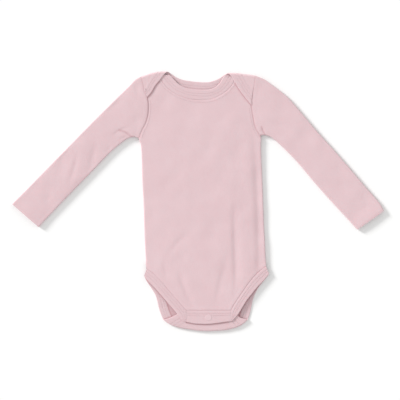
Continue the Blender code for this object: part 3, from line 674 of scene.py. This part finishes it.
# A row of stitching holds the seam allowance down, just outside the neckband and inside each armhole.
for seam in (neck_seam, armhole("left", 40), armhole("right", 40)):
    z -= 0.12 * bell(np.abs(near(seam, x, y)[0]) - SEAM_ROW, 0.7)
middle = np.stack([x, y, z], axis=-1)
ribs = panel_ribs(y, share, inwards)
front = build_cloth("front_panel_knit", middle, KNIT_WALL, ribs, knit, painted_shade=painted_shade)
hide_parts("front_panel")

# ---------------------------------------------------------------------------------------------------------------------
# Neckbands. Strips of the same knit folded double and sewn to the raw neck edges, each held flat by two rows of twin
# needle stitching. The back's runs on down the edges of the shoulder laps.

THREAD_ROSE = (0.66, 0.47, 0.50, 1.0)
STITCH_PITCH = 2.6
THREAD_WIDTH = 0.42
# Rings along a stitch and points round each ring. Its two ends are closed for a ring of six.
STITCH_SIDES = 6
NECK_ROWS = (5.6, 9.4)


def thread(name):
    """Sewing thread: a twisted strand, shown as fine slanted bands of bump along the stitch, in a deeper rose."""
    material = new_material(name, {"Roughness": 0.7, "Specular IOR Level": 0.3})
    spot = add_node(material, "TexCoord").outputs["Object"]
    twist = add_node(material, "TexWave", {"Scale": 1400.0, "Vector": spot})
    twist.bands_direction = "DIAGONAL"
    strand = twist.outputs["Fac"]
    mix_colour_and_bump(material, (THREAD_ROSE, shade_of(THREAD_ROSE, 0.85)), strand, strand, 0.4, 0.0001)
    return material


def tube_quads(ring):
    """Corners of the faces between one ring of points and the next."""
    following = np.roll(ring, -1, axis=1)
    return np.stack([ring[:-1], following[:-1], following[1:], ring[1:]], axis=-1).reshape(-1, 4)


def sew(name, rows):
    """Stitches along rows of (points, normals): each is a short capsule of thread laid along its row, its middle lifted
    off the cloth and its ends sunk in it."""
    centres, fronts, ups = [], [], []
    for path, up in rows:
        length = travel(path)
        at = np.arange(STITCH_PITCH / 2, length[-1], STITCH_PITCH)
        centres.append(read_at(at, length, path))
        fronts.append(unit(read_at(at + 0.4, length, path) - read_at(at - 0.4, length, path)))
        ups.append(unit(read_at(at, length, up)))
    centre, front, up = (np.concatenate(parts)[:, None, None] for parts in (centres, fronts, ups))
    aside = np.cross(front, up)
    run = np.linspace(-1, 1, STITCH_SIDES)[:, None]
    turn = np.linspace(0, 2 * np.pi, STITCH_SIDES, endpoint=False)
    radius = THREAD_WIDTH / 2 * np.sqrt(1 - 0.96 * run**2)
    lift = THREAD_WIDTH * (0.35 - 0.7 * run**2) + radius * np.sin(turn)
    forward = 0.42 * STITCH_PITCH * run + 0 * turn
    points = centre + front * forward[..., None] + up * lift[..., None] + aside * (radius * np.cos(turn))[..., None]
    ring = np.arange(STITCH_SIDES**2).reshape(STITCH_SIDES, STITCH_SIDES)
    caps = [ring[0, [0, 5, 4, 3]], ring[0, [0, 3, 2, 1]], ring[-1, [0, 1, 2, 3]], ring[-1, [0, 3, 4, 5]]]
    shape = np.concatenate([tube_quads(ring), caps])
    quads = (np.arange(len(points))[:, None, None] * ring.size + shape).reshape(-1, 4)
    piece = add_mesh(name, points.reshape(-1, 3), quads, stitching)
    return piece


def band_wall(from_edge, from_seam, rows):
    """Thickness across a folded strip: round at its free edge, thinner into its seam, and pinched at each row of
    stitching, from_seam away from the seam."""
    edge = np.sqrt(1 - (1 - np.clip(from_edge / 0.9, 0.004, 1)) ** 2)
    wall = FOLDED_WALL * edge * (1 - 0.3 * bell(from_seam, 0.9))
    for row in rows:
        wall = wall - 0.2 * bell(from_seam - row, 0.6) * edge
    return wall


def across_band(width, count):
    """Distances from a band's free edge: close together round the edge, then even."""
    return np.concatenate([0.9 * (1 - np.cos(np.linspace(0, np.pi / 2, 7)))[:-1], np.linspace(0.9, width, count)])


def strip_ribs(line, from_edge):
    """Place across and along the ribs on a strip: the distance along its line, and the distance from its edge."""
    return np.stack(np.broadcast_arrays(travel(line)[:, None], from_edge), axis=-1)


def columns_at(distances, rows):
    """For each row of stitching, the column of the grid whose distance is nearest to the row's."""
    return [int(np.argmin(np.abs(distances - row))) for row in rows]


def rows_on(columns, *faces):
    """The points and normals of these columns, on each face given as (points, normals)."""
    return [(points[:, column], normals[:, column]) for points, normals in faces for column in columns]


def on_front(edge, seam, share):
    """Middle of a strip that lies on the front: straight from its free edge to its seam, at the front's level."""
    flat = edge[:, None] + (seam - edge)[:, None] * share[:, None]
    return np.dstack([flat, front_level(flat[..., 0], flat[..., 1])])


def upward(grid_faces):
    """The upper face of a wall and its normals turned up, from the three grids that two_faces gives."""
    upper, lower, normal = grid_faces
    lift = np.where(normal[..., 2:] < 0, -1, 1)
    return np.where(lift > 0, upper, lower), normal * lift


band = rib_knit("rib_band", tint=0.985)
stitching = thread("stitching_thread")

from_edge = across_band(NECKBAND_WIDTH, 40)
start, end = BACK_NECK_EDGE[0] - BACK_NECK_EDGE[3], BACK_NECK_EDGE[-1] - BACK_NECK_EDGE[-4]
reach = np.linspace(30, 0, 40, endpoint=False)[:, None]
long_edge = np.concatenate(
    [BACK_NECK_EDGE[0] + unit(start) * reach, BACK_NECK_EDGE, BACK_NECK_EDGE[-1] + unit(end) * reach[::-1]]
)
lines = []
for distance in from_edge:
    # Each line of the band is cut off where it meets the armholes.
    line = set_off(long_edge, distance)
    travelled = travel(line)
    seen = lay_back(line[:, 0], line[:, 1], 0)[:, 1]
    inside = np.minimum(line[:, 0] - side("left", seen), side("right", seen) - line[:, 0])
    half = len(line) // 2
    order = np.argsort(inside[:half])
    first = np.interp(0, inside[:half][order], travelled[:half][order])
    last = np.interp(0, inside[half:][::-1], travelled[half:][::-1])
    at = np.linspace(first, last, 320)
    lines.append(read_at(at, travelled, line))
flat = np.stack(lines, axis=1)
middle = lay_back(flat[..., 0], flat[..., 1], FOLDED_WALL / 2)
wall = band_wall(from_edge, NECKBAND_WIDTH - from_edge, NECK_ROWS)
ribs = strip_ribs(flat[:, 20], from_edge)
neckband_back = build_cloth("neckband_back_rib", middle, wall, ribs, band)
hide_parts("neckband_back")
upper, lower, normal = two_faces(middle, wall)
columns = columns_at(NECKBAND_WIDTH - from_edge, NECK_ROWS)
sew("neckband_back_stitches", rows_on(columns, (upper, normal), (lower, -normal)))

edge, seam = through(NECK_FRONT, 150, "edge_"), through(NECK_FRONT, 150, "seam_")
flat = edge[:, None] + (seam - edge)[:, None] * (from_edge / NECKBAND_WIDTH)[:, None]
flat[..., 1] = np.minimum(flat[..., 1], shoulder_fold(flat[..., 0]) - 2.2)
middle = np.dstack([flat, front_level(flat[..., 0], flat[..., 1])])
ribs = strip_ribs(seam, from_edge)
neckband_front = build_cloth("neckband_front_rib", middle, wall, ribs, band)
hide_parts("neckband_front")
line = set_off(through(NECK_FRONT, 120, "seam_"), SEAM_ROW)
below = np.column_stack([line, front_height(line[:, 0], line[:, 1]) + KNIT_WALL / 2])
rows = rows_on(columns, upward(two_faces(middle, wall)))
rows.append((below, np.tile([0.0, 0.0, 1.0], (120, 1))))
sew("neckband_front_stitches", rows)

# ---------------------------------------------------------------------------------------------------------------------
# Sleeves. Each is one layer of knit sewn into a tube, set into its armhole and laid flat on itself, with its end turned
# in and pressed. The seam allowance is stitched down round the armhole.

SLEEVE_LOFT = 0.6
SLEEVE = {
    "left": {
        "over": table("x y", [(-85.6, 187.2), (-92.0, 184.2), (-104.0, 172.6), (-279.0, -4.1)]),
        "under": table("x y", [
            (-88.3, 94.0), (-94.0, 96.2), (-103.5, 94.9), (-118.0, 85.4), (-131.8, 73.4), (-155.0, 49.4),
            (-200.0, 2.9), (-239.3, -38.6),
        ]),
    },
    "right": {
        "over": table("x y", [
            (85.6, 188.6), (97.5, 184.1), (109.5, 175.9), (121.5, 166.9), (133.5, 157.0), (146.5, 142.6),
            (171.0, 113.6), (212.0, 67.5), (250.5, 22.5), (275.5, -8.0), (279.0, -14.6),
        ]),
        "under": table("x y", [
            (93.4, 98.6), (100.0, 99.3), (108.0, 97.1), (116.0, 91.9), (124.0, 84.4), (146.3, 61.8),
            (177.0, 25.6), (209.0, -10.0), (239.3, -42.4),
        ]),
    },
}
SLEEVE_FOLDS = {
    "left": [
        ([(-180, 82), (-184, 56), (-191, 34), (-198, 18)], 5.0, 4.0, 0.5),
        ([(-152, 96), (-157, 72), (-164, 40)], 6.0, 4.5, 0.45),
        ([(-128, 86), (-138, 68)], 5.0, 4.5, 0.25),
        ([(-218, 16), (-232, -6)], 5.0, 5.0, 0.25),
        ([(-131, 96), (-121, 104), (-111, 109), (-100, 110)], 2.2, 4.0, 0.4),
        ([(-118, 107), (-108, 103), (-97, 97)], 1.8, 2.6, 0.45),
        ([(-120, 90), (-110, 96), (-101, 100)], 2.0, 2.0, 0.3),
        ([(-93, 181), (-91.5, 167), (-87.5, 152)], 4.0, 4.0, 0.35),
        ([(-92.5, 132), (-91, 112)], 4.5, 4.5, 0.25),
        ([(-112, 160), (-140, 130)], 10.0, 8.0, 0.25),
    ],
    "right": [
        ([(95, 112), (97, 107), (101, 99)], 2.0, 2.0, 0.7),
        ([(110, 124), (132, 108)], 6.0, 6.0, 0.3),
        ([(104, 98), (125, 92), (142, 74)], 5.0, 5.0, -0.25),
        ([(140, 120), (128, 90)], 9.0, 9.0, 0.2),
        ([(205, 62), (216, 38)], 8.0, 6.0, 0.25),
        ([(240, 18), (260, -5)], 5.0, 5.0, 0.3),
        ([(246, -2), (258, -16)], 5.0, 5.0, 0.25),
        ([(148, 112), (178, 82)], 10.0, 8.0, 0.25),
    ],
}
# The sharpest creases, at the armpits, drawn only as painted shade.
TUCKS = {
    "left": [(-119, 107), (-109, 103.5), (-104, 100), (-98, 96)],
    "right": [(95, 112), (97, 107), (101, 99)],
}
# Lengths of the sleeves' cut, in metres.
SLEEVE_LENGTH = {"left": 0.252, "right": 0.268}
SLEEVE_ROWS = 190
SLEEVE_COLUMNS = 66
# The flat columns of a sleeve start this far in from its sides, past the bends.
PAST_BEND = 1.9
for name in ("left", "right"):
    along = np.linspace(0, 1, SLEEVE_ROWS)
    over, under = through(SLEEVE[name]["over"], SLEEVE_ROWS), through(SLEEVE[name]["under"], SLEEVE_ROWS)
    width = np.linalg.norm(under - over, axis=1)[:, None]
    turn = np.radians(np.linspace(-90, 90, 2 * BEND_COLUMNS - 1))
    bend_in = PRESSED * SIDE_BEND * (1 - np.cos(turn)) + KNIT_WALL / 2
    bend_up = SIDE_BEND * (1 + np.sin(turn))
    top = np.linspace(0, 1, SLEEVE_COLUMNS)[1:-1]
    base = top[::-2]
    across = np.concatenate(
        [
            np.broadcast_to(bend_in, (SLEEVE_ROWS, len(bend_in))),
            PAST_BEND + top * (width - 2 * PAST_BEND),
            width - bend_in[::-1],
            PAST_BEND + base * (width - 2 * PAST_BEND),
        ],
        axis=1,
    )
    rise = np.concatenate([bend_up, np.full(len(top), 2 * SIDE_BEND), bend_up[::-1], np.zeros(len(base))])
    share = across / width
    armhole_x = side(name, over[0, 1] + share * (under[0, 1] - over[0, 1]))
    chord_x = over[0, 0] + share * (under[0, 0] - over[0, 0])
    bulge = (1 - ease(along / 0.35))[:, None] * (armhole_x - chord_x)
    spot = over[:, None] + share[..., None] * (under - over)[:, None]
    x, y = spot[..., 0] + bulge, spot[..., 1]
    upper = rise / (2 * SIDE_BEND)
    crown = 4 * share * (1 - share)
    fullness = SLEEVE_LOFT * np.sqrt(crown) * ease(along / 0.1 + 0.3)[:, None]
    cap = 1.2 * ((1 - share) * np.exp(-along[:, None] / 0.08))
    folds = (creases(SLEEVE_FOLDS[name], x, y) + rumple(x, y)) * np.clip(3 * crown, 0, 1)
    apart, travelled = near(armhole(name, 40), x, y)
    z = KNIT_WALL / 2 + rise + upper * (fullness + cap + folds)
    z += upper * seam_dip(np.abs(apart), travelled) - upper * 0.1 * bell(np.abs(apart) - 3.3, 0.8)
    wall = KNIT_WALL + 0.5 * ease((along - 0.90) / 0.09)[:, None] * (1 - 0.6 * ease((along - 0.99) / 0.01))[:, None]
    middle = np.stack([x, y, z + (wall - KNIT_WALL) / 2], axis=-1)
    around = np.concatenate([across, across[:, :1]], axis=1)
    step = np.abs(np.diff(around, axis=1)) + np.abs(np.diff(np.append(rise, rise[0]))) * 0.6
    round_it = np.concatenate([np.zeros((SLEEVE_ROWS, 1)), np.cumsum(step, axis=1)], axis=1) - width / 2
    down_it = np.broadcast_to((along * SLEEVE_LENGTH[name] / MM)[:, None], round_it.shape)
    ribs = np.stack([round_it, down_it], axis=-1)
    tuck = run_along(*np.array(TUCKS[name], float).T, 20)
    # Painted shade along the armhole seam and the armpit's sharpest crease.
    painted_shade = np.maximum(0.55 * bell(apart, 0.9), 0.8 * beside(tuck, x, y, 1.1))
    sleeve = build_cloth(f"sleeve_{name}_knit", middle, wall, ribs, knit, ring=True, painted_shade=painted_shade)
    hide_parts(f"sleeve_{name}")

rows = []
for name, inwards_by in (("left", -SEAM_ROW), ("right", SEAM_ROW)):
    line = set_off(armhole(name, 120), inwards_by)
    seen = line[line[:, 1] < (152 if name == "left" else 140)]
    height = front_height(seen[:, 0], seen[:, 1]) + KNIT_WALL / 2
    rows.append((np.column_stack([seen, height]), np.tile([0.0, 0.0, 1.0], (len(seen), 1))))
sew("armhole_stitches", rows)

# ---------------------------------------------------------------------------------------------------------------------
# Leg bindings. Strips of knit folded over the raw edges of the leg openings and held by twin needle stitching. The
# back's go on round the crotch fold to the end of its tab, and the front's to the end of the placket.

LEG_ROWS = (4.2, 7.6)


def binding_crook_shade(name, x, y):
    """Painted shade on the lower layer at (x, y): most in the crook under the front binding's free edge and under the
    free edge of the binding on the folded-up tab."""
    front_edge = through(LEG_FRONT[name], 40, "edge_")
    free = run_along(BACK_LEGS[name], BACK_LEGS["y"], 80)
    free = free[free[:, 1] < crotch_fold(free[:, 0]) - np.pi * TAB_BEND]
    folded_edge = lay_back(free[:, 0], free[:, 1], 0)[:, :2]
    return 0.9 * np.maximum(beside(front_edge, x, y, 1.7), beside(folded_edge, x, y, 1.3))


from_edge = across_band(LEG_BINDING_WIDTH, 34)
leg_wall = band_wall(from_edge, LEG_BINDING_WIDTH - from_edge, LEG_ROWS)
leg_columns = columns_at(LEG_BINDING_WIDTH - from_edge, LEG_ROWS)
for name, inwards_by in (("left", -1), ("right", 1)):
    edge = run_along(BACK_LEGS[name], BACK_LEGS["y"], 260)
    tab_end = unfold_tab(edge[-1, 0], BACK_TAB_END)
    edge = edge[edge[:, 1] > tab_end]
    flat = np.stack([set_off(edge, inwards_by * distance) for distance in from_edge], axis=1)
    middle = lay_back(flat[..., 0], flat[..., 1], FOLDED_WALL / 2)
    ribs = strip_ribs(edge, from_edge)
    flat_part = flat[..., 1] > crotch_fold(flat[..., 0])
    # Painted shade in the crooks under the edges, on the flat part's face that looks up.
    painted_shade = binding_crook_shade(name, middle[..., 0], middle[..., 1]) * flat_part
    binding = build_cloth(f"leg_binding_back_{name}_rib", middle, leg_wall, ribs, band, painted_shade=painted_shade, both_faces=False)
    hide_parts(f"leg_binding_back_{name}")
    upper, lower, normal = two_faces(middle, leg_wall)
    sew(f"leg_binding_back_{name}_stitches", rows_on(leg_columns, (upper, normal), (lower, -normal)))

    # Both of the front binding's lines turn a corner where the placket begins.
    to_corner, on = LEG_FRONT[name][: PLACKET_CORNER + 1], LEG_FRONT[name][PLACKET_CORNER:]
    seam, edge = (
        np.concatenate([through(to_corner, 100, kind), through(on, 24, kind)[1:]]) for kind in ("seam_", "edge_")
    )
    middle = on_front(edge, seam, from_edge / LEG_BINDING_WIDTH)
    ribs = strip_ribs(edge, from_edge)
    binding = build_cloth(f"leg_binding_front_{name}_rib", middle, leg_wall, ribs, band)
    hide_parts(f"leg_binding_front_{name}")
    sew(f"leg_binding_front_{name}_stitches", rows_on(leg_columns, upward(two_faces(middle, leg_wall))))

# ---------------------------------------------------------------------------------------------------------------------
# Snap placket. A double strip of knit sewn across the front's tab between the leg bindings, stitched in two rows
# below its top.

PLACKET_ROWS = (4.5, 7.5)
PLACKET_HEIGHT = 19
edge = through(PLACKET, 60)
seam = np.stack([np.linspace(-17.6, 49.2, 60), np.full(60, PLACKET_TOP)], axis=-1)
share = np.concatenate([[0.0, 0.004, 0.012, 0.024, 0.038], np.linspace(0.052, 1, 44)])
height = np.linalg.norm(seam - edge, axis=1)[:, None]
placket_wall = band_wall(share * height, (1 - share) * height, PLACKET_ROWS)
middle = on_front(edge, seam, share)
placket = build_cloth("snap_placket_rib", middle, placket_wall, middle[..., :2], band)
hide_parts("snap_placket")
columns = columns_at((1 - share) * PLACKET_HEIGHT, PLACKET_ROWS)
sew("snap_placket_stitches", rows_on(columns, upward(two_faces(middle, placket_wall))))

# ---------------------------------------------------------------------------------------------------------------------
# The snap. A ring snap in enamelled brass: its cap is crimped onto the placket, and its socket and stud are closed
# between the two tabs.

SNAP_CENTRE = (15.8, -174.4)
ENAMEL_PINKS = (0.70, 0.52, 0.545, 1.0), (0.73, 0.55, 0.575, 1.0)


def enamel(name):
    """Baked enamel over brass: even pink, faintly mottled, with the fine orange-peel of a sprayed coat."""
    material = new_material(name, {"Roughness": 0.72, "Coat Weight": 0.04, "Coat Roughness": 0.45})
    spot = add_node(material, "TexCoord").outputs["Object"]
    mottle = add_node(material, "TexNoise", {"Scale": 1500.0, "Vector": spot}).outputs["Fac"]
    mix_colour_and_bump(material, ENAMEL_PINKS, mottle, mottle, 0.15, 0.00005)
    return material


def turned(name, profile, material, sides=64, steps=40):
    """A turned piece: the smooth curve through (radius, height) carried round the snap's centre, and each end closed
    by a fan of quads from one point of its ring."""
    line = run_along(*np.array(profile).T, steps)
    turn = np.linspace(0, 2 * np.pi, sides, endpoint=False)
    radius = np.maximum(line[:, :1], 0.02)
    x, y = SNAP_CENTRE[0] + radius * np.cos(turn), SNAP_CENTRE[1] + radius * np.sin(turn)
    points = np.stack([x, y, line[:, 1:] + 0 * x], axis=-1).reshape(-1, 3)
    ring = np.arange(len(points)).reshape(steps, sides)
    quads = [tube_quads(ring)]
    for end in (ring[0][::-1], ring[-1]):
        quads.append(np.stack([end[0] + 0 * end[1:-2:2], end[1:-2:2], end[2:-1:2], end[3::2]], axis=-1))
    return add_mesh(name, points, np.concatenate(quads), material)


snap_enamel = enamel("snap_enamel")
# The cap is pressed 0.03 into the placket, and the socket stands 0.02 clear of both tabs.
seat = float(front_level(*np.array(SNAP_CENTRE))) + FOLDED_WALL / 2 - 0.03
# Radius of the cap's ring-shaped crown from its edge inwards, and height above the placket.
CAP_PROFILE = [
    (4.5, 0.0), (4.75, 0.08), (4.75, 0.16), (4.5, 0.27), (3.9, 0.36),
    (3.2, 0.35), (2.7, 0.31), (2.0, 0.32), (0.9, 0.36), (0.02, 0.37),
]
cap = turned("snap_cap_enamel", [(radius, seat + height) for radius, height in CAP_PROFILE], snap_enamel)
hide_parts("snap_cap")
low, high = KNIT_WALL + 2 * TAB_BEND + 0.02, FRONT_TAB_LEVEL - FOLDED_WALL / 2 - 0.02
socket_profile = [(0.02, low), (3.4, low), (4.1, low + 0.1), (4.1, high - 0.1), (3.4, high), (0.02, high)]
socket = turned("snap_socket_enamel", socket_profile, snap_enamel)
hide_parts("snap_socket")

# ---------------------------------------------------------------------------------------------------------------------
# The studio. A plain white surface, a low soft light from the upper left, soft light from all round, and a camera
# straight above.

matt_white = {"Base Color": (0.93, 0.93, 0.925, 1.0), "Roughness": 1.0, "Specular IOR Level": 0.0}
floor_material = new_material("white_surface", matt_white)
floor_mesh = bpy.data.meshes.new("floor")
floor_mesh.from_pydata([(-4, -4, -0.0004), (4, -4, -0.0004), (4, 4, -0.0004), (-4, 4, -0.0004)], [], [(0, 1, 2, 3)])
floor_mesh.materials.append(floor_material)
floor = put("floor", floor_mesh)

world = bpy.data.worlds.new("studio")
world.use_nodes = True
world.node_tree.nodes["Background"].inputs["Color"].default_value = (1.0, 1.0, 1.0, 1.0)
world.node_tree.nodes["Background"].inputs["Strength"].default_value = 0.767
bpy.context.scene.world = world

key = bpy.data.lights.new("key", "SUN")
key.energy = 2.95
key.angle = np.radians(14)
key_light = put("key", key)
LIGHT_FROM = np.radians(147)
LIGHT_HEIGHT = np.radians(20.5)
key_light.rotation_euler = (np.pi / 2 - LIGHT_HEIGHT, 0, LIGHT_FROM + np.pi / 2)

camera = bpy.data.cameras.new("camera")
camera.lens = 150
camera.sensor_width = 36
camera_object = put("camera", camera)
camera_object.location = (0.003, 0.0019, 2.504)
bpy.context.scene.camera = camera_object
bpy.context.scene.view_settings.view_transform = "Standard"
